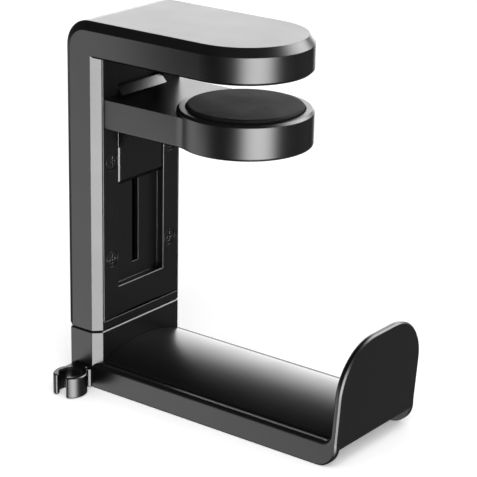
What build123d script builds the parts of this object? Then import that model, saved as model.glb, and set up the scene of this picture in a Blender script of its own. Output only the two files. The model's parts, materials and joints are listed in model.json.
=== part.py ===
from build123d import *
import math
import os

os.makedirs("parts", exist_ok=True)

# Clamp-on headphone hook, in millimetres.
# Origin: centre of the upper pad's contact face, where the top of a desk touches.
# +X points from the column to the free ends, +Z up, and Y is across the width.

# ---- driving dimensions ------------------------------------------------------------
WIDTH = 45.0            # frame, block and tray, side to side
COLUMN_DEPTH = 14.0     # rear face to front face
PAD_AXIS = 57.0         # rear face to the axis of both pads
ARM_LENGTH = 78.4       # rear face to the tip of the top arm
ARM_THICK = 11.6
TOP_CORNER_R = 9.2      # outer corner between column and top arm
TOP_CHAMFER_DOWN = 2.8
TOP_CHAMFER_IN = 2.0
FRONT_BEVEL = 2.65      # 45 degree strips beside the front cover
WALL = 2.2
PAD_PROUD = 0.8         # the upper pad stands below the arm by this much

SEAM_DROP = 105.5       # top face down to the swivel seam
SEAM_GAP = 0.5
EDGE = 0.35             # small roundings and chamfers along visible edges
COVER_DROP = 102.6      # top face down to the cover's lower edge
BASE_DROP = 126.1       # top face down to the tray's lower edges

WINDOW_HALF = 11.6
WINDOW_DROP = 91.9
RECESS_DEPTH = 2.75
SLOT_WIDTH = 3.1
TRAVEL = 30.0

JAW_HALF = 19.1
JAW_TOP_DROP = 25.5
JAW_BOTTOM_DROP = 35.6
DISC_R = 21.9
DISC_TOP_DROP = 24.0
PAD_R = 18.9
UPPER_PAD_R = 17.0
JAW_PAD_PROUD = 1.0

RIM_DROP = 117.3        # top face down to the tray's rim
SADDLE_RISE = 4.2
TRAY_WALL = 2.3
TRAY_WEB = 1.6
LIP_OUT = 111.0         # rear face to the lip's outer face, at its foot
LIP_THICK = 2.5
LIP_LEAN = 4.0          # degrees outward
LIP_TOP_DROP = 85.2
LIP_CORNER_R = 17.0
LIP_EDGE = 0.55
RIM_ROUND = 1.3         # rounding of the tray's rim and the lip's inner edge

CLIP_X = 8.4            # cable passage, from the rear face
CLIP_Y = -30.2
CLIP_BORE_R = 3.7
CLIP_WALL = 2.0
CLIP_MOUTH = 3.8
CLIP_TOP_DROP = 118.6
CLIP_BOTTOM_DROP = 125.9

PIVOT_R = 2.0           # M4 swivel bolt
RUNNING = 0.08          # radial clearance of the swivel

# ---- derived levels ----------------------------------------------------------------
REAR = -PAD_AXIS
FRONT = REAR + COLUMN_DEPTH
HALF = WIDTH / 2
UNDER = PAD_PROUD
TOP = UNDER + ARM_THICK
SEAM = TOP - SEAM_DROP
BLOCK_TOP = SEAM - SEAM_GAP
COVER_FOOT = TOP - COVER_DROP
BASE = TOP - BASE_DROP
WINDOW_FOOT = TOP - WINDOW_DROP
JAW_TOP = TOP - JAW_TOP_DROP
JAW_BOTTOM = TOP - JAW_BOTTOM_DROP
DISC_TOP = TOP - DISC_TOP_DROP
JAW_PAD_TOP = DISC_TOP + JAW_PAD_PROUD
RIM = TOP - RIM_DROP
LIP_TOP = TOP - LIP_TOP_DROP
ARM_END_X = REAR + ARM_LENGTH - HALF
COVER_HALF = HALF - FRONT_BEVEL - 0.55
COVER_THICK = 2.4
COVER_ARCH = 0.65       # rise of the cover's lower edge
RECESS_X = FRONT - RECESS_DEPTH
FLOOR_THICK = 1.8
FLOOR_BACK = RECESS_X - FLOOR_THICK
PIVOT_X = REAR + COLUMN_DEPTH / 2


def block(x0, x1, y0, y1, z0, z1):
    """A box between two corners."""
    size = (x1 - x0, y1 - y0, z1 - z0)
    centre = ((x0 + x1) / 2, (y0 + y1) / 2, (z0 + z1) / 2)
    return Pos(*centre) * Box(*size)


def rod(radius, start, end):
    """A round bar from one point to another."""
    axis = Vector(*end) - Vector(*start)
    plane = Plane(origin=start, z_dir=axis)
    return extrude(plane * Circle(radius), axis.length)


def prism_y(points, half):
    """A side-view outline (x, z), extruded across the width."""
    face = make_face(Polyline(*[(x, 0, z) for x, z in points], close=True))
    return extrude(face, half, dir=(0, 1, 0), both=True)


def plan_prism(face, z0, z1):
    """A plan-view face, extruded between two heights."""
    return extrude(Pos(0, 0, z0) * face, z1 - z0)


def tongue(x0, centre_x, half):
    """Plan view of an arm: straight sides and a round end."""
    length = centre_x - x0
    straight = Pos(x0 + length / 2, 0) * Rectangle(length, 2 * half)
    return straight + Pos(centre_x, 0) * Circle(half)


def bevel_wedge(side, z0, z1):
    """What a 45 degree bevel takes off one front edge of the column."""
    edge = side * HALF
    corners = [
        (FRONT - FRONT_BEVEL - 1, edge + side),
        (FRONT + 1, edge + side),
        (FRONT + 1, edge - side * (FRONT_BEVEL + 1)),
    ]
    return plan_prism(make_face(Polyline(*corners, close=True)), z0, z1)


def rear_wedge(side, z0, z1):
    """What the chamfer takes off one rear edge of the column."""
    edge = side * HALF
    slope = TOP_CHAMFER_IN / TOP_CHAMFER_DOWN
    corners = [
        (REAR - 1, edge + side),
        (REAR - 1, edge - side * (TOP_CHAMFER_DOWN + 1 / slope)),
        (REAR + TOP_CHAMFER_IN + slope, edge + side),
    ]
    return plan_prism(make_face(Polyline(*corners, close=True)), z0, z1)


def screw(radius, head_r, head_h, start, end):
    """A cross-head screw whose head's outer face is at start."""
    axis = (Vector(*end) - Vector(*start)).normalized()
    head_end = Vector(*start) + axis * head_h
    body = rod(head_r, start, tuple(head_end)) + rod(radius, tuple(head_end), end)
    seat = Plane(origin=start, z_dir=axis)
    cross = Rectangle(head_r * 1.25, head_r * 0.26) + Rectangle(head_r * 0.26, head_r * 1.25)
    return body - extrude(seat * cross, head_h * 0.6)


# ---- frame: column and top arm -----------------------------------------------------
COVER_SCREWS = [(y, TOP - drop) for drop in (47.5, 81.3) for y in (-14.9, 14.9)]
ARM_SCREWS = [(REAR + 25.0, -13.0), (REAR + 25.0, 13.0), (0.0, 0.0)]
ARM_PLATE_THICK = 2.0
ARM_PLATE_INSET = 3.4
SCREW_R = 1.3
HEAD_R = 2.5
HEAD_H = 1.3
ANCHOR_X = REAR + 6.2
ANCHOR_Z = UNDER + 5.7
ANCHOR_R = 1.0
SPRING_Y = 7.0
PAN_HALF = WINDOW_HALF + 1.2
SWIVEL_DISC_R = 6.0
SWIVEL_RECESS = 0.8
FLOOR_TOP = COVER_FOOT - 0.1


def frame_blank():
    """Column and top arm in one, with the rounded outer corner and the chamfered rim."""
    profile = [
        (REAR, SEAM),
        (REAR, TOP),
        (ARM_END_X + HALF, TOP),
        (ARM_END_X + HALF, UNDER),
        (FRONT, UNDER),
        (FRONT, SEAM),
    ]
    solid = prism_y(profile, HALF)
    solid &= plan_prism(tongue(REAR, ARM_END_X, HALF), SEAM, TOP)
    rear_top = solid.edges().filter_by(Axis.Y).sort_by(lambda e: e.center().Z - e.center().X)[-1]
    solid = fillet(rear_top, TOP_CORNER_R)
    side = solid.faces().filter_by(Axis.Y).sort_by(Axis.Y)[-1]
    rim = side.edges().filter_by(Axis.X).sort_by(Axis.Z)[-1:]
    solid = chamfer(rim, TOP_CHAMFER_DOWN, TOP_CHAMFER_IN, reference=side)
    for s in (-1, 1):
        solid -= bevel_wedge(s, SEAM - 1, UNDER)
    lower_rim = solid.faces().filter_by(Axis.Z).sort_by(lambda f: abs(f.center().Z - UNDER))[0]
    outer = [e for e in lower_rim.edges() if e.center().X > FRONT + 2]
    return chamfer(outer, 0.8)


def arm_plate_plan(gap=0.0):
    """Plan view of the plate that closes the arm from below."""
    return tongue(FRONT + 3.0 - gap, ARM_END_X, HALF - ARM_PLATE_INSET + gap)


def make_frame_shell():
    solid = frame_blank()
    roof = TOP - 2.6
    # column cavity, open to the front between the two bevels
    inner = COVER_HALF - 1.6
    cavity = block(REAR + WALL, FRONT - COVER_THICK, -inner, inner, FLOOR_TOP, roof)
    rear_top = cavity.edges().filter_by(Axis.Y).sort_by(lambda e: e.center().Z - e.center().X)[-1]
    solid -= fillet(rear_top, TOP_CORNER_R - WALL)
    seat = COVER_HALF + 0.1
    solid -= block(FRONT - COVER_THICK - 0.05, FRONT + 1, -seat, seat, FLOOR_TOP, UNDER)
    # arm cavity, open below under its plate
    solid -= plan_prism(arm_plate_plan(0.1), UNDER - 1, UNDER + ARM_PLATE_THICK)
    solid -= plan_prism(tongue(FRONT, ARM_END_X, HALF - ARM_PLATE_INSET - 1.6), UNDER + 1.9, roof)
    # screw bosses, kept clear of the cover's sunk track
    column_bosses = Part()
    for y, z in COVER_SCREWS:
        column_bosses += rod(2.6, (REAR + WALL - 0.5, y, z), (FRONT - COVER_THICK, y, z))
    pan = PAN_HALF + 0.2
    column_bosses -= block(FLOOR_BACK - 0.2, FRONT, -pan, pan, WINDOW_FOOT - 2, UNDER)
    solid += column_bosses
    for x, y in ARM_SCREWS:
        solid += rod(3.0, (x, y, UNDER + ARM_PLATE_THICK), (x, y, roof + 0.5))
    for y, z in COVER_SCREWS:
        solid -= rod(SCREW_R, (FRONT - 9.0, y, z), (FRONT, y, z))
    for x, y in ARM_SCREWS:
        solid -= rod(SCREW_R, (x, y, UNDER), (x, y, UNDER + 8.0))
    # two lugs carry the springs' anchor pin
    for s in (-1, 1):
        lug = block(ANCHOR_X - 2.4, ANCHOR_X + 2.4, 10.4, 12.6, ANCHOR_Z - 2.4, roof + 0.5)
        solid += lug if s > 0 else mirror(lug, Plane.XZ)
    solid -= rod(ANCHOR_R, (ANCHOR_X, -13.2, ANCHOR_Z), (ANCHOR_X, 13.2, ANCHOR_Z))
    # swivel bolt hole and the recess of its friction disc
    solid -= rod(PIVOT_R + 0.05, (PIVOT_X, 0, SEAM - 1), (PIVOT_X, 0, FLOOR_TOP + 1))
    solid -= rod(SWIVEL_DISC_R + 0.05, (PIVOT_X, 0, SEAM - 1), (PIVOT_X, 0, SEAM + SWIVEL_RECESS))
    return solid


def make_front_cover():
    """Plate with a sunk track: a window, its walls and a slotted floor."""
    sides = COVER_HALF
    low = COVER_FOOT
    top = UNDER - 0.1
    edge = ThreePointArc((-sides, low), (0, low + COVER_ARCH), (sides, low))
    rest = Polyline((sides, low), (sides, top), (-sides, top), (-sides, low))
    outline = make_face(Plane.YZ * (edge + rest))
    solid = Pos(FRONT - COVER_THICK, 0, 0) * extrude(outline, COVER_THICK, dir=(1, 0, 0))
    solid += block(FLOOR_BACK, FRONT - COVER_THICK, -PAN_HALF, PAN_HALF, WINDOW_FOOT - 1.6, top)
    solid -= block(RECESS_X, FRONT + 1, -WINDOW_HALF, WINDOW_HALF, WINDOW_FOOT, top + 1)
    half_slot = SLOT_WIDTH / 2
    solid -= block(FLOOR_BACK - 1, RECESS_X + 1, -half_slot, half_slot, SLOT_FOOT, SLOT_HEAD)
    front_edges = [e for e in solid.edges() if abs(e.center().X - FRONT) < 0.01]
    solid = fillet([e for e in front_edges if e.center().Z < UNDER - 0.3], EDGE)
    for y, z in COVER_SCREWS:
        solid -= rod(2.75, (FRONT - 1.5, y, z), (FRONT + 1, y, z))
        solid -= rod(SCREW_R + 0.1, (FRONT - 4, y, z), (FRONT, y, z))
    return solid


def make_cover_screws():
    head, tip = FRONT - 0.2, FRONT - 9.0
    return [screw(SCREW_R, HEAD_R, HEAD_H, (head, y, z), (tip, y, z)) for y, z in COVER_SCREWS]


def make_arm_plate():
    solid = plan_prism(arm_plate_plan(), UNDER, UNDER + ARM_PLATE_THICK)
    solid -= rod(UPPER_PAD_R + 0.05, (0, 0, UNDER - 1), (0, 0, UNDER + 0.7))
    for x, y in ARM_SCREWS:
        solid -= rod(SCREW_R + 0.1, (x, y, UNDER), (x, y, UNDER + 3))
        solid -= rod(HEAD_R + 0.2, (x, y, UNDER - 1), (x, y, UNDER + 1.4))
    return solid


def make_arm_screws():
    heads = []
    for x, y in ARM_SCREWS:
        sunk = 0.75 if (x, y) == (0.0, 0.0) else 0.1
        heads.append(screw(SCREW_R, HEAD_R, 0.6, (x, y, UNDER + sunk), (x, y, UNDER + 8.0)))
    return heads


def pad(radius, z0, z1, crown):
    """A round rubber pad with one eased edge, on the crown side."""
    solid = rod(radius, (0, 0, z0), (0, 0, z1))
    edge = solid.edges().sort_by(Axis.Z)
    return fillet(edge[-1:] if crown > 0 else edge[:1], 0.5)


def make_anchor_pin():
    return rod(ANCHOR_R, (ANCHOR_X, -13.2, ANCHOR_Z), (ANCHOR_X, 13.2, ANCHOR_Z))


# ---- sliding jaw -------------------------------------------------------------------
SLAB_FOOT = TOP - 56.5
SLOT_HEAD = SLAB_FOOT + 22.1
SLOT_FOOT = SLAB_FOOT - TRAVEL
SLAB_STEP = 2.6         # the slab stands this far above the jaw's arm
RAMP_HEAD = FRONT - 1.0
RAMP_FOOT = FRONT + 1.5
WEB_HALF = SLOT_WIDTH / 2 - 0.15
SLIDER_BACK = REAR + 4.9
SLIDER_HALF = 10.8
SLIDER_TOP = SLOT_HEAD - 2.0
SLIDER_FOOT = SLAB_FOOT - 1.0
SLIDER_SCREWS = [SLAB_FOOT + 4.5, SLAB_FOOT + 17.0]
LUG_Z = SLIDER_TOP + 2.6
SPRING_WIRE_R = 0.35
SPRING_COIL_R = 2.2


def make_jaw_arm():
    root_x = FRONT + 0.15
    both = tongue(root_x, 0, JAW_HALF) + Circle(DISC_R)
    neck = [v for v in both.vertices() if v.X > root_x + 5]
    outline = fillet(neck, 9.0)
    solid = plan_prism(outline, JAW_BOTTOM, JAW_TOP)
    solid += rod(DISC_R, (0, 0, JAW_BOTTOM), (0, 0, DISC_TOP))
    low_face = solid.faces().sort_by(Axis.Z)[0]
    solid = fillet([e for e in low_face.edges() if e.center().X > root_x + 1], 0.9)
    rims = solid.edges().group_by(Axis.Z)[-1]
    solid = chamfer(rims, 0.8)
    # hollow underside with a cross of ribs, as it is moulded
    inner = offset(outline, -2.6)
    hollow = plan_prism(inner, JAW_BOTTOM - 1, JAW_TOP - 2.4)
    hollow -= block(root_x, DISC_R, -0.9, 0.9, JAW_BOTTOM, JAW_TOP)
    for x in (root_x + 16.0, -14.0, 0.0):
        hollow -= block(x - 0.9, x + 0.9, -HALF, HALF, JAW_BOTTOM + 0.8, JAW_TOP)
    hollow -= block(root_x, root_x + 5.5, -6, 6, JAW_BOTTOM, JAW_TOP)
    solid -= hollow
    solid -= rod(PAD_R + 0.35, (0, 0, JAW_TOP), (0, 0, DISC_TOP + 1))
    # slab that runs in the cover's sunk track, ramped at the top
    slab_x = RECESS_X + 0.15
    side = [
        (slab_x, SLAB_FOOT),
        (slab_x, JAW_TOP + SLAB_STEP),
        (RAMP_HEAD, JAW_TOP + SLAB_STEP),
        (RAMP_FOOT, JAW_TOP),
        (RAMP_FOOT, JAW_BOTTOM + 0.9),
        (FRONT - 0.15, JAW_BOTTOM + 0.9),
        (FRONT - 0.15, SLAB_FOOT + 1.5),
        (FRONT - 1.2, SLAB_FOOT),
    ]
    slab = prism_y(side, WINDOW_HALF - 0.25)
    corners = [e for e in slab.edges().filter_by(Axis.Z) if abs(e.center().X - FRONT + 0.15) < 0.01]
    solid += chamfer(corners, 0.6)
    for y in (-10.4, 10.4):
        foot = (FRONT - 0.2, JAW_BOTTOM - 8.0)
        top = JAW_BOTTOM + 0.1
        rib = [foot, (FRONT + 4.2, top), (FRONT - 0.2, top)]
        solid += Pos(0, y, 0) * prism_y(rib, 0.9)
    solid += block(FLOOR_BACK - 0.15, slab_x + 0.1, -WEB_HALF, WEB_HALF, SLAB_FOOT, SLOT_HEAD - 0.05)
    for z in SLIDER_SCREWS:
        solid -= rod(1.0, (FLOOR_BACK - 1, 0, z), (FRONT - 0.6, 0, z))
    return solid


def make_slider():
    """Block behind the slotted floor, with a pin on each side for a spring."""
    front = FLOOR_BACK - 0.15
    solid = block(SLIDER_BACK, front, -SLIDER_HALF, SLIDER_HALF, SLIDER_FOOT, SLIDER_TOP)
    for s in (-1, 1):
        post = block(ANCHOR_X - 1.1, ANCHOR_X + 1.1, 8.4, 10.2, SLIDER_TOP - 0.5, LUG_Z + 1.1)
        lug = rod(ANCHOR_R, (ANCHOR_X, 5.4, LUG_Z), (ANCHOR_X, 9.0, LUG_Z))
        pair = post + lug
        solid += pair if s > 0 else mirror(pair, Plane.XZ)
    for z in SLIDER_SCREWS:
        solid -= rod(1.1, (SLIDER_BACK - 1, 0, z), (front + 1, 0, z))
        solid -= rod(2.7, (SLIDER_BACK - 1, 0, z), (SLIDER_BACK + 2.0, 0, z))
    return solid


def make_slider_screws():
    seat = SLIDER_BACK + 0.1
    return [screw(1.0, 2.0, 1.4, (seat, 0, z), (FRONT - 0.6, 0, z)) for z in SLIDER_SCREWS]


def make_slider_washers():
    rings = []
    for z in SLIDER_SCREWS:
        ring = rod(2.6, (SLIDER_BACK + 1.5, 0, z), (SLIDER_BACK + 2.0, 0, z))
        rings.append(ring - rod(1.1, (SLIDER_BACK, 0, z), (SLIDER_BACK + 3.0, 0, z)))
    return rings


def make_spring(y):
    """Extension spring: a close coil with a ring at each end, round its pins."""
    ring_r = ANCHOR_R + 0.4 + SPRING_WIRE_R
    low, high = LUG_Z + ring_r, ANCHOR_Z - ring_r
    pitch = 1.0
    lead = 1.4
    height = high - low - 2 * lead
    turns = round(height / pitch)
    coil_path = Helix(height / turns, height, SPRING_COIL_R)
    start = Plane(origin=coil_path @ 0, z_dir=coil_path % 0)
    coil = sweep(start * Circle(SPRING_WIRE_R), coil_path)
    spring = Pos(ANCHOR_X, y, low + lead) * coil
    x1 = ANCHOR_X + SPRING_COIL_R
    for z0, z1 in ((low, low + lead), (high - lead, high)):
        mid = z1 if z0 == low else z0
        tip = z0 if z0 == low else z1
        spring += rod(SPRING_WIRE_R, (ANCHOR_X, y, tip), (ANCHOR_X, y, mid))
        spring += rod(SPRING_WIRE_R, (ANCHOR_X, y, mid), (x1, y, mid))
        for x in (ANCHOR_X, x1):
            spring += Pos(x, y, mid) * Sphere(SPRING_WIRE_R * 1.02)
    for z in (LUG_Z, ANCHOR_Z):
        spring += Pos(ANCHOR_X, y, z) * Rot(90, 0, 0) * Torus(ring_r, SPRING_WIRE_R)
    return spring


# ---- swivel ------------------------------------------------------------------------
WAVE_H = 0.8
NUT_H = 4.0
BLOCK_ROOF = 4.0
BEARING_H = 0.8


def ring(outer, inner, z0, z1):
    """A washer round the swivel bolt."""
    hole = rod(inner, (PIVOT_X, 0, z0 - 1), (PIVOT_X, 0, z1 + 1))
    return rod(outer, (PIVOT_X, 0, z0), (PIVOT_X, 0, z1)) - hole


def make_pivot_bolt():
    head_top = BLOCK_TOP - BLOCK_ROOF - BEARING_H - 0.05
    head = rod(3.5, (PIVOT_X, 0, head_top - 2.6), (PIVOT_X, 0, head_top))
    head = chamfer(head.edges().sort_by(Axis.Z)[:1], 0.4)
    shank = rod(PIVOT_R, (PIVOT_X, 0, head_top - 0.5), (PIVOT_X, 0, FLOOR_TOP + WAVE_H + NUT_H + 0.8))
    socket = Pos(PIVOT_X, 0, head_top - 2.7) * extrude(RegularPolygon(1.5, 6), 1.9)
    return head + shank - socket


def make_pivot_nut():
    low = FLOOR_TOP + WAVE_H
    flats = RegularPolygon(3.5, 6, major_radius=False)
    hexagon = Pos(PIVOT_X, 0, low) * extrude(flats, NUT_H - 1.2)
    collar = rod(3.1, (PIVOT_X, 0, low), (PIVOT_X, 0, low + NUT_H))
    return hexagon + collar - rod(PIVOT_R, (PIVOT_X, 0, low - 1), (PIVOT_X, 0, low + NUT_H + 1))


# ---- hook --------------------------------------------------------------------------
TRAY_END = REAR + LIP_OUT
LEAN = math.tan(math.radians(LIP_LEAN))
FOOT_CORNER_R = 7.5
SADDLE_HALF = HALF - 3.1
SADDLE_SKIN = 1.7
SADDLE_STEP = 0.6
POCKET = 0.8
WEB_TOP = RIM - POCKET
WEB_UNDER = WEB_TOP - TRAY_WEB
SADDLE_SCREWS = [REAR + 33.0, REAR + 90.0]
BOSS_R = 3.0
CLIP_TOP = TOP - CLIP_TOP_DROP
CLIP_BOTTOM = TOP - CLIP_BOTTOM_DROP
CLIP_MID = (CLIP_TOP + CLIP_BOTTOM) / 2
CLIP_AT = REAR + CLIP_X
CLIP_SCREW_X = REAR + 6.6
CLIP_NECK = 6.4
CLIP_PLATE = 8.7        # width of the clip's root plate


def lip_x(z):
    """Where the lip's outer face stands at a height."""
    return TRAY_END + (z - RIM) * LEAN


def hook_profile():
    """Side view: block, tray and leaning lip, with the rounded turn into the lip."""
    inner_foot = (lip_x(RIM) - LIP_THICK, RIM)
    inner_top = (lip_x(LIP_TOP) - LIP_THICK, LIP_TOP)
    return [
        (REAR, BASE),
        (REAR, BLOCK_TOP),
        (FRONT, BLOCK_TOP),
        (FRONT, RIM),
        inner_foot,
        inner_top,
        (lip_x(LIP_TOP), LIP_TOP),
        (lip_x(RIM), RIM),
        (lip_x(RIM), BASE),
    ]


def hook_blank():
    solid = prism_y(hook_profile(), HALF)
    across = solid.edges().filter_by(Axis.Y)
    foot = across.sort_by(lambda e: e.center().X - e.center().Z)[-1]
    solid = fillet(foot, FOOT_CORNER_R)
    inner_foot_x = lip_x(RIM) - LIP_THICK
    near = [e for e in solid.edges().filter_by(Axis.Y) if abs(e.center().Z - RIM) < 0.01]
    turn = [e for e in near if abs(e.center().X - inner_foot_x) < 0.01]
    solid = fillet(turn, 3.0)
    return solid


def lip_window():
    """Everything the hook may fill: the lip's rounded outline seen along X."""
    centre = LIP_TOP - LIP_CORNER_R
    flat = HALF - LIP_CORNER_R
    outline = Rectangle(WIDTH, centre - BASE, align=(Align.CENTER, Align.MIN))
    shape = Pos(0, BASE) * outline
    shape += Pos(0, centre) * Rectangle(2 * flat, LIP_CORNER_R, align=(Align.CENTER, Align.MIN))
    for s in (-1, 1):
        shape += Pos(s * flat, centre) * Circle(LIP_CORNER_R)
    return extrude(Plane.YZ * shape, 40, dir=(1, 0, 0))


def saddle_form(half, foot, shoulder, crown):
    """Arched bar along X: a low arc over upright sides."""
    arc = ThreePointArc((-half, shoulder), (0, crown), (half, shoulder))
    rest = Polyline((half, shoulder), (half, foot), (-half, foot), (-half, shoulder))
    face = make_face(Plane.YZ * (arc + rest))
    length = TRAY_END - FRONT + 2
    return Pos(FRONT - 1, 0, 0) * extrude(face, length, dir=(1, 0, 0))


def inner_rim(solid):
    """The edges that run round the tray's rim and up round the lip's inner face."""
    foot = lip_x(RIM) - LIP_THICK
    lip_middle = Vector(foot + 1.0, 0, (RIM + LIP_TOP) / 2)
    face = min(solid.faces(), key=lambda f: (f.center() - lip_middle).length)
    low = face.center().Z - 10
    rim = [e for e in face.edges() if e.center().Z > low]
    for e in solid.edges():
        at = e.center()
        on_side = abs(abs(at.Y) - HALF) < 0.01
        on_tray = FRONT + 1 < at.X < foot + 1 and RIM - 0.01 < at.Z < RIM + 4
        if on_side and on_tray:
            rim.append(e)
    return rim


def rounded_bar():
    """The tray's cross-section carried back under the block's bevels."""
    bar = block(FRONT - 5, FRONT + 5, -HALF, HALF, BASE, RIM)
    top = [e for e in bar.edges().filter_by(Axis.X) if e.center().Z > RIM - 1]
    return fillet(top, RIM_ROUND)


def make_hook():
    solid = hook_blank()
    end = block(TRAY_END - 12, TRAY_END + 10, -HALF - 1, HALF + 1, BASE - 1, LIP_TOP + 1)
    solid = (solid - end) + (solid & end & (Pos(TRAY_END - 20, 0, 0) * lip_window()))
    solid = fillet(inner_rim(solid), RIM_ROUND)
    for s in (-1, 1):
        solid -= bevel_wedge(s, RIM - RIM_ROUND, BLOCK_TOP + 1) - rounded_bar()
        solid -= rear_wedge(s, BASE - 1, BLOCK_TOP + 1)
    outer_face = max(solid.faces(), key=lambda f: f.center().X)
    rim = [e for e in outer_face.edges() if e.center().Z > RIM + 1]
    solid = chamfer(rim, LIP_EDGE)
    seam_rim = solid.faces().sort_by(lambda f: abs(f.center().Z - BLOCK_TOP))[0].edges()
    solid = chamfer(seam_rim, EDGE)
    # underside: a pocket in the block and an open trough under the tray's web
    pocket = HALF - WALL - 0.6
    roof = BLOCK_TOP - BLOCK_ROOF
    solid -= block(REAR + WALL, FRONT - WALL, -pocket, pocket, BASE - 1, roof)
    inner = HALF - TRAY_WALL
    solid -= block(FRONT, TRAY_END + 5, -inner, inner, BASE - 1, WEB_UNDER)
    # bed of the saddle
    lip_inside = prism_y(
        [
            (lip_x(RIM) - LIP_THICK - 3.6, WEB_TOP - 1),
            (lip_x(RIM) - LIP_THICK - 3.6, RIM + 0.05),
            (lip_x(RIM) - LIP_THICK - 0.2, RIM + 3.4),
            (TRAY_END + 10, RIM + 3.4),
            (TRAY_END + 10, WEB_TOP - 1),
        ],
        HALF,
    )
    seat = SADDLE_HALF + 0.12
    bed = block(FRONT, TRAY_END, -seat, seat, WEB_TOP, RIM + 2)
    bed -= lip_inside
    solid -= bed
    for x in (REAR + 50.0, REAR + 72.0):
        span = inner + 0.1
        solid += block(x - 0.8, x + 0.8, -span, span, WEB_UNDER - 3.0, WEB_UNDER + 0.1)
    solid -= rod(PIVOT_R + RUNNING, (PIVOT_X, 0, roof - 1), (PIVOT_X, 0, BLOCK_TOP + 1))
    for x in SADDLE_SCREWS:
        solid -= rod(SCREW_R + 0.1, (x, 0, WEB_UNDER - 1), (x, 0, WEB_TOP + 1))
    # screw hole of the cable clip
    side = (CLIP_SCREW_X, -HALF - 1, CLIP_MID)
    solid -= rod(SCREW_R, side, (CLIP_SCREW_X, -HALF + 4, CLIP_MID))
    return solid


def make_saddle(hook):
    shoulder = RIM + SADDLE_STEP
    crown = RIM + SADDLE_RISE
    solid = saddle_form(SADDLE_HALF, WEB_TOP, shoulder, crown)
    along = solid.edges().filter_by(Axis.X)
    solid = chamfer([e for e in along if abs(e.center().Z - shoulder) < 0.01], 0.3)
    inner = SADDLE_HALF - SADDLE_SKIN
    hollow = saddle_form(inner, WEB_TOP - 1, shoulder - SADDLE_SKIN + 0.9, crown - SADDLE_SKIN)
    hollow &= block(FRONT + 3, TRAY_END - 8, -HALF, HALF, WEB_TOP - 2, TOP)
    solid -= hollow
    solid &= block(FRONT + 0.1, TRAY_END, -HALF, HALF, WEB_TOP, TOP)
    roof = RIM + SADDLE_RISE - SADDLE_SKIN + 0.3
    for x in SADDLE_SCREWS:
        solid += rod(BOSS_R, (x, 0, WEB_TOP), (x, 0, roof))
        solid -= rod(SCREW_R, (x, 0, WEB_TOP - 1), (x, 0, RIM + 2.2))
    return solid - hook


def make_saddle_screws():
    head, tip = WEB_UNDER - HEAD_H, RIM + 2.2
    return [screw(SCREW_R, HEAD_R, HEAD_H, (x, 0, head), (x, 0, tip)) for x in SADDLE_SCREWS]


def clip_plan():
    """Plan view of the clip: two curved arms round a cable passage, on a narrow neck."""
    outer_r = CLIP_BORE_R + CLIP_WALL
    root_y = -HALF - 0.02
    neck_length = root_y - CLIP_Y
    shape = Pos(CLIP_AT, CLIP_Y) * Circle(outer_r)
    neck = Rectangle(CLIP_NECK, neck_length, align=(Align.CENTER, Align.MAX))
    shape += Pos(CLIP_SCREW_X, root_y) * neck
    shape -= Pos(CLIP_AT, CLIP_Y) * Circle(CLIP_BORE_R)
    shape -= Pos(CLIP_AT, CLIP_Y - outer_r) * Rectangle(CLIP_MOUTH, 2 * outer_r)
    shape = fillet([v for v in shape.vertices() if v.Y < CLIP_Y], 0.85)
    corners = [v for v in shape.vertices() if CLIP_Y < v.Y < root_y - 0.5]
    return fillet(corners, 1.0)


def make_cable_clip():
    """C-shaped clip on a thin root plate, open away from the block."""
    root_y = -HALF - 0.02
    solid = plan_prism(clip_plan(), CLIP_BOTTOM, CLIP_TOP)
    ends = solid.faces().filter_by(Axis.Z)
    rims = [e for f in ends for e in f.edges() if e.center().Y < root_y - 0.1]
    solid = chamfer(rims, EDGE)
    x0, x1 = CLIP_SCREW_X - CLIP_PLATE / 2, CLIP_SCREW_X + CLIP_PLATE / 2
    plate = block(x0, x1, root_y - 0.9, root_y, CLIP_BOTTOM, CLIP_TOP - 0.9)
    front = plate.faces().sort_by(Axis.Y)[0]
    solid += chamfer(front.edges().filter_by(Axis.Z), 0.6)
    for x in (x0 + 1.8, x1 - 1.8):
        solid += rod(0.75, (x, root_y - 0.75, CLIP_TOP - 1.5), (x, root_y - 0.75, CLIP_TOP + 0.1))
    tip = (CLIP_SCREW_X, -HALF - 3.2, CLIP_MID)
    return solid - rod(SCREW_R, (CLIP_SCREW_X, -HALF + 1, CLIP_MID), tip)


def make_clip_screw():
    wall_inside = -HALF + WALL + 0.6
    head = (CLIP_SCREW_X, wall_inside + HEAD_H, CLIP_MID)
    return screw(SCREW_R, 2.2, HEAD_H, head, (CLIP_SCREW_X, -HALF - 3.2, CLIP_MID))


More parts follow.
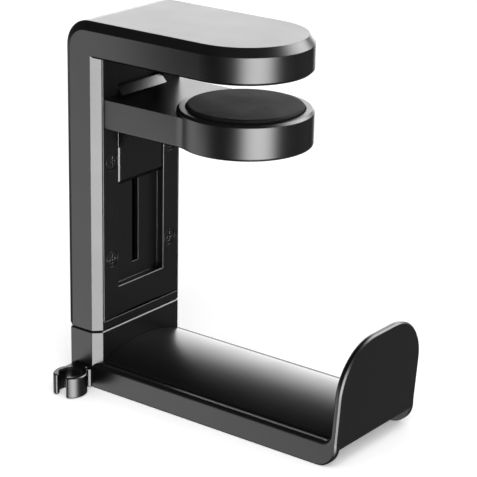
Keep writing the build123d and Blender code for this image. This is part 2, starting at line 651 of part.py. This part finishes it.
# ---- all pieces --------------------------------------------------------------------
hook_bracket = make_hook()
pieces = {
    "frame_shell": make_frame_shell(),
    "front_cover": make_front_cover(),
    "cover_screws": make_cover_screws(),
    "arm_plate": make_arm_plate(),
    "arm_plate_screws": make_arm_screws(),
    "upper_pad": pad(UPPER_PAD_R, 0.0, PAD_PROUD + 0.7, -1),
    "spring_anchor_pin": make_anchor_pin(),
    "jaw_arm": make_jaw_arm(),
    "jaw_pad": pad(PAD_R, JAW_TOP, JAW_PAD_TOP, 1),
    "slider_block": make_slider(),
    "slider_screws": make_slider_screws(),
    "slider_washers": make_slider_washers(),
    "clamp_spring_near": make_spring(-SPRING_Y),
    "clamp_spring_far": make_spring(SPRING_Y),
    "swivel_disc": ring(SWIVEL_DISC_R, PIVOT_R + 0.1, BLOCK_TOP + 0.05, SEAM + SWIVEL_RECESS),
    "wave_washer": ring(4.0, PIVOT_R + 0.1, FLOOR_TOP, FLOOR_TOP + WAVE_H),
    "pivot_nut": make_pivot_nut(),
    "pivot_bolt": make_pivot_bolt(),
    "bearing_washer": ring(4.3, PIVOT_R + 0.1, BLOCK_TOP - BLOCK_ROOF - BEARING_H, BLOCK_TOP - BLOCK_ROOF),
    "hook_bracket": hook_bracket,
    "tray_saddle": make_saddle(hook_bracket),
    "saddle_screws": make_saddle_screws(),
    "cable_clip": make_cable_clip(),
    "clip_screw": make_clip_screw(),
}
for name, piece in pieces.items():
    shape = Compound(children=piece) if isinstance(piece, list) else piece
    export_step(shape, f"parts/{name}.step")
    print(name, len(shape.solids()), round(shape.volume, 1))
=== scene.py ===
import json
import math

import bmesh
import bpy
from mathutils import Matrix, Vector


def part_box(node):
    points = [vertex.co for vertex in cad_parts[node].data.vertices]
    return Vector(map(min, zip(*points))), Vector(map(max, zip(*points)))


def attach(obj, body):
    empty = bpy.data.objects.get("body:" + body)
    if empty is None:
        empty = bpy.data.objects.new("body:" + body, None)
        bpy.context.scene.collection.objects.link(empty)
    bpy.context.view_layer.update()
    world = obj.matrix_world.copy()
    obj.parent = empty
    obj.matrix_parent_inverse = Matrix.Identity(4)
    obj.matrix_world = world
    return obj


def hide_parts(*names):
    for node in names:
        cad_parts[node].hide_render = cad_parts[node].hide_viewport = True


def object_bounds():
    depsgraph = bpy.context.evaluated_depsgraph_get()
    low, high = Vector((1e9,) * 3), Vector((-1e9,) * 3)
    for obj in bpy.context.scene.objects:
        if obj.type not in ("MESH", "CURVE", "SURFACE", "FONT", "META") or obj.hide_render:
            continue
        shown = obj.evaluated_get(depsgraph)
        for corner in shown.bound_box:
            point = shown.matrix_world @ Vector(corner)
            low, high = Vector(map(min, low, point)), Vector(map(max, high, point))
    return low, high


# A clamp-on headphone hook: looks, studio and camera. Metres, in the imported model's frame.

MM = 0.001

# ---- camera --------------------------------------------------------------------------
CAMERA_AZIMUTH = 37.0       # degrees from -Y towards +X
CAMERA_ELEVATION = 19.6
CAMERA_ROLL = 1.09
CAMERA_DISTANCE = 0.6268
CAMERA_LENS = 144.4
CAMERA_SENSOR = 36.0
CAMERA_AIM = Vector((-0.0054, 0.0047, -0.0583))

# ---- studio --------------------------------------------------------------------------
FLOOR_RADIUS = 6.0
FLOOR_GLOW = 0.3            # the floor is a lit table, so shadows on it stay pale
AMBIENT = 0.72              # white dome seen by matt surfaces
STUDIO_BASE = 0.05          # what polished surfaces see between the softboxes
# name: azimuth, elevation, clear radius, soft radius (degrees), brightness
SOFTBOXES = {
    "white wall": (-143.0, 2.0, 14.0, 33.0, 3.4),
    "key": (59.0, -12.0, 8.0, 34.0, 16.5),
    "left fill": (-52.0, -25.0, 14.0, 30.0, 2.4),
    "right dim": (143.0, -22.0, 14.0, 36.0, 0.15),
    "right rim": (153.0, 34.0, 8.0, 30.0, 11.0),
    "front top": (24.0, 24.0, 5.0, 18.0, 1.6),
}
SECOND_BOUNCE = 0.22        # softboxes as seen in a reflection of a reflection
LAMP_OFFSET = Vector((0.5, -0.6, 0.9))
LAMP_SIZE = 0.9
LAMP_POWER = 6.5
FLAG_DISTANCE = 0.09        # a black card beside the top arm, seen only in reflections
FLAG_LEFT = -0.081
FLAG_RIGHT = 0.01
FLAG_LOW = -0.036
FLAG_HIGH = 0.08

# ---- moulded pads --------------------------------------------------------------------
PAD_SEGMENTS = 144
PAD_SHOULDER = 0.75 * MM    # rounding between side and face
PAD_INSET = 0.25 * MM       # the root stands in from the side by this much
PAD_DISH = 0.05 * MM        # hollow at the middle of the face

# ---- colours -------------------------------------------------------------------------
SATIN_BLACK = (0.0035, 0.0035, 0.0036)
SATIN_WORN = (0.012, 0.012, 0.012)
MATT_BLACK = (0.003, 0.003, 0.0031)
MATT_WORN = (0.01, 0.01, 0.01)
RUBBER_BLACK = (0.006, 0.006, 0.0062)
RUBBER_DUST = (0.011, 0.011, 0.0113)
OXIDE_BLACK = (0.045, 0.045, 0.048)
OXIDE_WORN = (0.16, 0.16, 0.165)
ZINC_DULL = (0.46, 0.47, 0.49)
ZINC_BRIGHT = (0.64, 0.64, 0.63)
NYLON_DEEP = (0.66, 0.65, 0.6)
NYLON_MILK = (0.76, 0.75, 0.71)
FLOOR_GREY = (0.9, 0.9, 0.9)
FLOOR_WHITE = (0.92, 0.92, 0.92)
CARD_BLACK = (0.001, 0.001, 0.001)
CARD_FIBRE = (0.002, 0.002, 0.002)


def direction(azimuth, elevation):
    """Unit vector from the object: azimuth from -Y towards +X, elevation above the floor."""
    a, e = math.radians(azimuth), math.radians(elevation)
    return Vector((math.sin(a) * math.cos(e), -math.cos(a) * math.cos(e), math.sin(e)))


# ---- node helpers --------------------------------------------------------------------
def value_node(tree, kind, **settings):
    """A node of one kind with its properties set."""
    node = tree.nodes.new(kind)
    for name, value in settings.items():
        setattr(node, name, value)
    return node


def math_node(tree, operation, first, second):
    """A Math node on two inputs, each a socket or a number."""
    node = value_node(tree, "ShaderNodeMath", operation=operation)
    for socket, item in zip(node.inputs, (first, second)):
        if isinstance(item, (int, float)):
            socket.default_value = item
        else:
            tree.links.new(item, socket)
    return node.outputs[0]


def remap(tree, source, low, high, to_low, to_high, smooth=False):
    """Maps a value from one range to another, clamped at both ends."""
    node = value_node(tree, "ShaderNodeMapRange")
    node.interpolation_type = "SMOOTHSTEP" if smooth else "LINEAR"
    tree.links.new(source, node.inputs["Value"])
    ends = {"From Min": low, "From Max": high, "To Min": to_low, "To Max": to_high}
    for name, item in ends.items():
        node.inputs[name].default_value = item
    return node.outputs["Result"]


def noise(tree, scale, detail=2.0, roughness=0.5):
    """Noise in the part's own metres; scale is features per metre."""
    coords = value_node(tree, "ShaderNodeTexCoord")
    node = value_node(tree, "ShaderNodeTexNoise")
    node.inputs["Scale"].default_value = scale
    node.inputs["Detail"].default_value = detail
    node.inputs["Roughness"].default_value = roughness
    tree.links.new(coords.outputs["Object"], node.inputs["Vector"])
    return node.outputs["Fac"]


def edge_mask(tree, radius):
    """1 along sharp edges, 0 on open faces."""
    bevel = value_node(tree, "ShaderNodeBevel", samples=4)
    bevel.inputs["Radius"].default_value = radius
    geometry = value_node(tree, "ShaderNodeNewGeometry")
    dot = value_node(tree, "ShaderNodeVectorMath", operation="DOT_PRODUCT")
    tree.links.new(bevel.outputs["Normal"], dot.inputs[0])
    tree.links.new(geometry.outputs["Normal"], dot.inputs[1])
    return remap(tree, dot.outputs["Value"], 0.99, 0.85, 0.0, 1.0, smooth=True)


def bump(tree, height, distance, strength, radius=0.0):
    """A bump node on the surface's own normal, or on one rounded at its edges."""
    node = value_node(tree, "ShaderNodeBump")
    node.inputs["Strength"].default_value = strength
    node.inputs["Distance"].default_value = distance
    tree.links.new(height, node.inputs["Height"])
    if radius:
        bevel = value_node(tree, "ShaderNodeBevel", samples=4)
        bevel.inputs["Radius"].default_value = radius
        tree.links.new(bevel.outputs["Normal"], node.inputs["Normal"])
    return node.outputs["Normal"]


def tint(tree, mask, low, high):
    """A colour that goes from low to high with a mask."""
    mix = value_node(tree, "ShaderNodeMix", data_type="RGBA")
    tree.links.new(mask, mix.inputs["Factor"])
    mix.inputs["A"].default_value = (*low, 1)
    mix.inputs["B"].default_value = (*high, 1)
    return mix.outputs["Result"]


def new_material(name):
    """A material, its node tree and its surface shader."""
    material = bpy.data.materials.new(name)
    material.use_nodes = True
    tree = material.node_tree
    return material, tree, tree.nodes["Principled BSDF"]


# ---- materials -----------------------------------------------------------------------
def moulded_plastic(name, shade, rough, grain, worn):
    """Black moulded plastic: spark-textured skin, uneven sheen, edges rubbed smoother."""
    material, tree, shader = new_material(name)
    clouds = noise(tree, 70.0, detail=3.0)
    spark = noise(tree, 3200.0, detail=2.0, roughness=0.6)
    edges = edge_mask(tree, 0.35 * MM)
    patches = remap(tree, noise(tree, 420.0), 0.35, 0.65, 0.3, 1.0)
    scuffs = math_node(tree, "MULTIPLY", edges, patches)
    colour = tint(tree, scuffs, shade, worn)
    drift = remap(tree, clouds, 0.3, 0.7, rough - 0.012, rough + 0.012)
    rubbed = math_node(tree, "MULTIPLY", scuffs, -0.06)
    tree.links.new(colour, shader.inputs["Base Color"])
    tree.links.new(math_node(tree, "ADD", drift, rubbed), shader.inputs["Roughness"])
    tree.links.new(bump(tree, spark, grain, 0.35, radius=0.25 * MM), shader.inputs["Normal"])
    return material


def rubber(name):
    """Soft black silicone: dull, a touch dusty, with a fine matt tooth."""
    material, tree, shader = new_material(name)
    dust = remap(tree, noise(tree, 260.0, detail=5.0, roughness=0.65), 0.45, 0.75, 0.0, 1.0)
    tooth = noise(tree, 4200.0, detail=1.5)
    tree.links.new(tint(tree, dust, RUBBER_BLACK, RUBBER_DUST), shader.inputs["Base Color"])
    tree.links.new(remap(tree, noise(tree, 90.0), 0.3, 0.7, 0.6, 0.68), shader.inputs["Roughness"])
    tree.links.new(bump(tree, tooth, 0.012 * MM, 0.4), shader.inputs["Normal"])
    shader.inputs["Specular IOR Level"].default_value = 0.1
    return material


def black_steel(name):
    """Black-oxide screw heads: dark metal, brighter where a driver has touched the edges."""
    material, tree, shader = new_material(name)
    edges = edge_mask(tree, 0.12 * MM)
    relief = bump(tree, noise(tree, 5200.0), 0.008 * MM, 0.3, radius=0.08 * MM)
    tree.links.new(tint(tree, edges, OXIDE_BLACK, OXIDE_WORN), shader.inputs["Base Color"])
    tree.links.new(remap(tree, noise(tree, 900.0), 0.3, 0.7, 0.3, 0.42), shader.inputs["Roughness"])
    tree.links.new(relief, shader.inputs["Normal"])
    shader.inputs["Metallic"].default_value = 0.85
    return material


def zinc_steel(name):
    """Bright zinc plate, faintly mottled, with fine handling marks."""
    material, tree, shader = new_material(name)
    mottle = noise(tree, 600.0, detail=4.0)
    marks = noise(tree, 3000.0)
    tree.links.new(tint(tree, mottle, ZINC_DULL, ZINC_BRIGHT), shader.inputs["Base Color"])
    tree.links.new(remap(tree, marks, 0.3, 0.7, 0.2, 0.36), shader.inputs["Roughness"])
    tree.links.new(bump(tree, marks, 0.006 * MM, 0.35, radius=0.08 * MM), shader.inputs["Normal"])
    shader.inputs["Metallic"].default_value = 1.0
    return material


def natural_nylon(name):
    """Uncoloured nylon: milky, slightly see-through, with a waxy sheen."""
    material, tree, shader = new_material(name)
    milk = noise(tree, 180.0, detail=3.0)
    relief = bump(tree, noise(tree, 2600.0), 0.01 * MM, 0.3, radius=0.15 * MM)
    tree.links.new(tint(tree, milk, NYLON_DEEP, NYLON_MILK), shader.inputs["Base Color"])
    tree.links.new(remap(tree, milk, 0.3, 0.7, 0.38, 0.5), shader.inputs["Roughness"])
    tree.links.new(relief, shader.inputs["Normal"])
    shader.inputs["Subsurface Weight"].default_value = 0.12
    shader.inputs["Subsurface Radius"].default_value = (0.002, 0.0018, 0.0015)
    return material


def floor_paint(name):
    """White studio floor with a hint of unevenness."""
    material, tree, shader = new_material(name)
    drift = noise(tree, 3.0)
    tree.links.new(tint(tree, drift, FLOOR_GREY, FLOOR_WHITE), shader.inputs["Base Color"])
    tree.links.new(remap(tree, drift, 0.3, 0.7, 0.75, 0.85), shader.inputs["Roughness"])
    shader.inputs["Specular IOR Level"].default_value = 0.1
    shader.inputs["Emission Color"].default_value = (1, 1, 1, 1)
    shader.inputs["Emission Strength"].default_value = FLOOR_GLOW
    return material


# ---- pieces --------------------------------------------------------------------------
def mesh_object(name, bm, material):
    """Turns built geometry into a linked object with one material."""
    mesh = bpy.data.meshes.new(name)
    bm.to_mesh(mesh)
    bm.free()
    mesh.materials.append(material)
    piece = bpy.data.objects.new(name, mesh)
    bpy.context.scene.collection.objects.link(piece)
    return piece


def ring_points(bm, radius, height, count):
    """One closed ring of points at a height."""
    turns = (math.tau * i / count for i in range(count))
    return [bm.verts.new((radius * math.cos(t), radius * math.sin(t), height)) for t in turns]


def turned_piece(name, profile, count, material):
    """A closed turned body from (radius, height) points; its first and last points are capped."""
    bm = bmesh.new()
    rings = [ring_points(bm, r, z, count) for r, z in profile]
    for low, high in zip(rings, rings[1:]):
        for i in range(count):
            j = (i + 1) % count
            bm.faces.new((low[i], low[j], high[j], high[i]))
    caps = ((rings[0], profile[0][1], True), (rings[-1], profile[-1][1], False))
    for ends, height, flip in caps:
        hub = bm.verts.new((0, 0, height))
        for i in range(count):
            here, after = ends[i], ends[(i + 1) % count]
            bm.faces.new((after, here, hub) if flip else (here, after, hub))
    piece = mesh_object(name, bm, material)
    piece.data.shade_smooth()
    smoother = piece.modifiers.new("subdivision", "SUBSURF")
    smoother.levels = smoother.render_levels = 1
    return piece


def pad_profile(radius, base, face):
    """Half section of a moulded pad: bead at the root, rounded shoulder, faintly dished face."""
    side = 1 if face > base else -1
    rise = abs(face - base)
    shoulder = min(PAD_SHOULDER, 0.5 * rise)
    root = radius - PAD_INSET
    points = [(radius * 0.5, base), (root - 0.3 * MM, base), (root, base)]
    points.append((root, base + side * 0.04 * MM))
    points.append((radius, base + side * 0.18 * rise))
    points.append((radius, face - side * shoulder))
    steps = 6
    for i in range(1, steps + 1):
        turn = math.radians(90 * i / steps)
        out = radius - shoulder * (1 - math.cos(turn))
        points.append((out, face - side * shoulder * (1 - math.sin(turn))))
    points.append((radius - shoulder - 0.4 * MM, face))
    for share in (0.86, 0.7, 0.5, 0.3, 0.12):
        sag = PAD_DISH * (1 - share ** 2)
        points.append((radius * share, face - side * sag))
    return points


def rubber_pad(node, facing, material):
    """The moulded form of one of the clamp's rubber discs, facing up (1) or down (-1)."""
    low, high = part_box(node)
    radius = (high.x - low.x) / 2
    base, face = (low.z, high.z) if facing > 0 else (high.z, low.z)
    profile = pad_profile(radius, base, face)
    return turned_piece(node + "_moulded", profile, PAD_SEGMENTS, material)


def floor(material, height):
    """A wide white disc under the part, left out of its reflections."""
    bm = bmesh.new()
    bmesh.ops.create_circle(bm, cap_ends=True, radius=FLOOR_RADIUS, segments=64)
    piece = mesh_object("studio_floor", bm, material)
    piece.location.z = height
    piece.visible_glossy = False
    return piece


# ---- studio --------------------------------------------------------------------------
def softbox(tree, heading, azimuth, elevation, clear, soft, brightness):
    """A soft-edged bright disc in one direction of the studio."""
    dot = value_node(tree, "ShaderNodeVectorMath", operation="DOT_PRODUCT")
    tree.links.new(heading, dot.inputs[0])
    dot.inputs[1].default_value = direction(azimuth, elevation)
    edge, core = math.cos(math.radians(soft)), math.cos(math.radians(clear))
    return remap(tree, dot.outputs["Value"], edge, core, 0.0, brightness, smooth=True)


def flag(material):
    """A black card that darkens the top arm's side towards its end, as seen in its reflections."""
    bm = bmesh.new()
    corners = [(FLAG_LEFT, FLAG_LOW), (FLAG_RIGHT, FLAG_LOW)]
    corners += [(FLAG_RIGHT, FLAG_HIGH), (FLAG_LEFT, FLAG_HIGH)]
    bm.faces.new([bm.verts.new((x, -FLAG_DISTANCE, z)) for x, z in corners])
    piece = mesh_object("studio_flag", bm, material)
    for ray in ("camera", "diffuse", "shadow", "transmission"):
        setattr(piece, "visible_" + ray, False)
    return piece


def black_card(name):
    """Matt black card stock."""
    material, tree, shader = new_material(name)
    fibre = noise(tree, 40.0)
    tree.links.new(tint(tree, fibre, CARD_BLACK, CARD_FIBRE), shader.inputs["Base Color"])
    shader.inputs["Specular IOR Level"].default_value = 0.0
    return material


def studio_world():
    """White for the camera, a plain dome for matt surfaces, softboxes for polished ones."""
    world = bpy.data.worlds.new("studio")
    world.use_nodes = True
    tree = world.node_tree
    heading = value_node(tree, "ShaderNodeTexCoord").outputs["Generated"]
    total = None
    for settings in SOFTBOXES.values():
        glow = softbox(tree, heading, *settings)
        total = glow if total is None else math_node(tree, "ADD", total, glow)
    path = value_node(tree, "ShaderNodeLightPath")
    bounce = remap(tree, path.outputs["Glossy Depth"], 1.0, 2.0, 1.0, SECOND_BOUNCE)
    polished = math_node(tree, "MULTIPLY", math_node(tree, "ADD", total, STUDIO_BASE), bounce)
    seen = remap(tree, path.outputs["Is Camera Ray"], 0.0, 1.0, AMBIENT, 1.0)
    pick = value_node(tree, "ShaderNodeMix", data_type="FLOAT")
    tree.links.new(path.outputs["Is Glossy Ray"], pick.inputs["Factor"])
    tree.links.new(seen, pick.inputs["A"])
    tree.links.new(polished, pick.inputs["B"])
    background = tree.nodes["Background"]
    background.inputs["Color"].default_value = (1, 1, 1, 1)
    tree.links.new(pick.outputs["Result"], background.inputs["Strength"])
    bpy.context.scene.world = world


def overhead_light(target):
    """A wide lamp above, for the soft shadow under the tray."""
    data = bpy.data.lights.new("overhead", "AREA")
    data.shape = "DISK"
    data.size = LAMP_SIZE
    data.energy = LAMP_POWER
    lamp = bpy.data.objects.new("overhead", data)
    lamp.location = target + LAMP_OFFSET
    lamp.rotation_euler = (target - lamp.location).to_track_quat("-Z", "Y").to_euler()
    lamp.visible_camera = False
    lamp.visible_glossy = False
    bpy.context.scene.collection.objects.link(lamp)


def camera():
    """The photo's viewpoint: it looks at CAMERA_AIM, rolled a little."""
    back = direction(CAMERA_AZIMUTH, CAMERA_ELEVATION)
    right = Vector((0, 0, 1)).cross(back).normalized()
    up = back.cross(right)
    roll = math.radians(CAMERA_ROLL)
    side = right * math.cos(roll) + up * math.sin(roll)
    top = up * math.cos(roll) - right * math.sin(roll)
    data = bpy.data.cameras.new("camera")
    data.lens = CAMERA_LENS
    data.sensor_width = CAMERA_SENSOR
    view = bpy.data.objects.new("camera", data)
    place = CAMERA_AIM + back * CAMERA_DISTANCE
    turn = Matrix((side, top, back)).transposed().to_4x4()
    view.matrix_world = Matrix.Translation(place) @ turn
    bpy.context.scene.collection.objects.link(view)
    bpy.context.scene.camera = view


# ---- making --------------------------------------------------------------------------
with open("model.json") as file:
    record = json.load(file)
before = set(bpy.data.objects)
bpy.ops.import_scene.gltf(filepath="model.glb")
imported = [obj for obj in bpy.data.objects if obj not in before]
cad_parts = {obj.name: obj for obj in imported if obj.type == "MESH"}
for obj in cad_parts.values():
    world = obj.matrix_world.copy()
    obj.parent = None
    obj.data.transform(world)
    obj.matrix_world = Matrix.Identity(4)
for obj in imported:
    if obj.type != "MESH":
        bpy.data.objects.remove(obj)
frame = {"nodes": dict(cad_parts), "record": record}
cad_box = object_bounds()
nodes = frame["nodes"]
camera()

PLASTIC = moulded_plastic("satin_black_plastic", SATIN_BLACK, 0.33, 0.01 * MM, SATIN_WORN)
DARK = moulded_plastic("fine_matt_plastic", MATT_BLACK, 0.36, 0.008 * MM, MATT_WORN)
RUBBER = rubber("silicone_rubber")
SCREW = black_steel("black_oxide_steel")
STEEL = zinc_steel("zinc_plate")
NYLON = natural_nylon("natural_nylon")

FINISHES = {
    "black_plastic": PLASTIC,
    "black_plastic_dark": DARK,
    "rubber_pad": RUBBER,
    "black_screw": SCREW,
    "steel": STEEL,
    "nylon": NYLON,
}
for subpart in frame["record"]["subparts"]:
    thing = nodes[subpart["node"]]
    thing.data.materials.clear()
    thing.data.materials.append(FINISHES[subpart["material_slot"]])

for node, facing, body in (("jaw_pad", 1, "jaw"), ("upper_pad", -1, "frame")):
    pad = rubber_pad(node, facing, RUBBER)
    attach(pad, body)
    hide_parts(node)

floor(floor_paint("studio_white"), cad_box[0].z)
flag(black_card("black_card"))
studio_world()
overhead_light((cad_box[0] + cad_box[1]) / 2)
bpy.context.scene.view_settings.view_transform = "Standard"
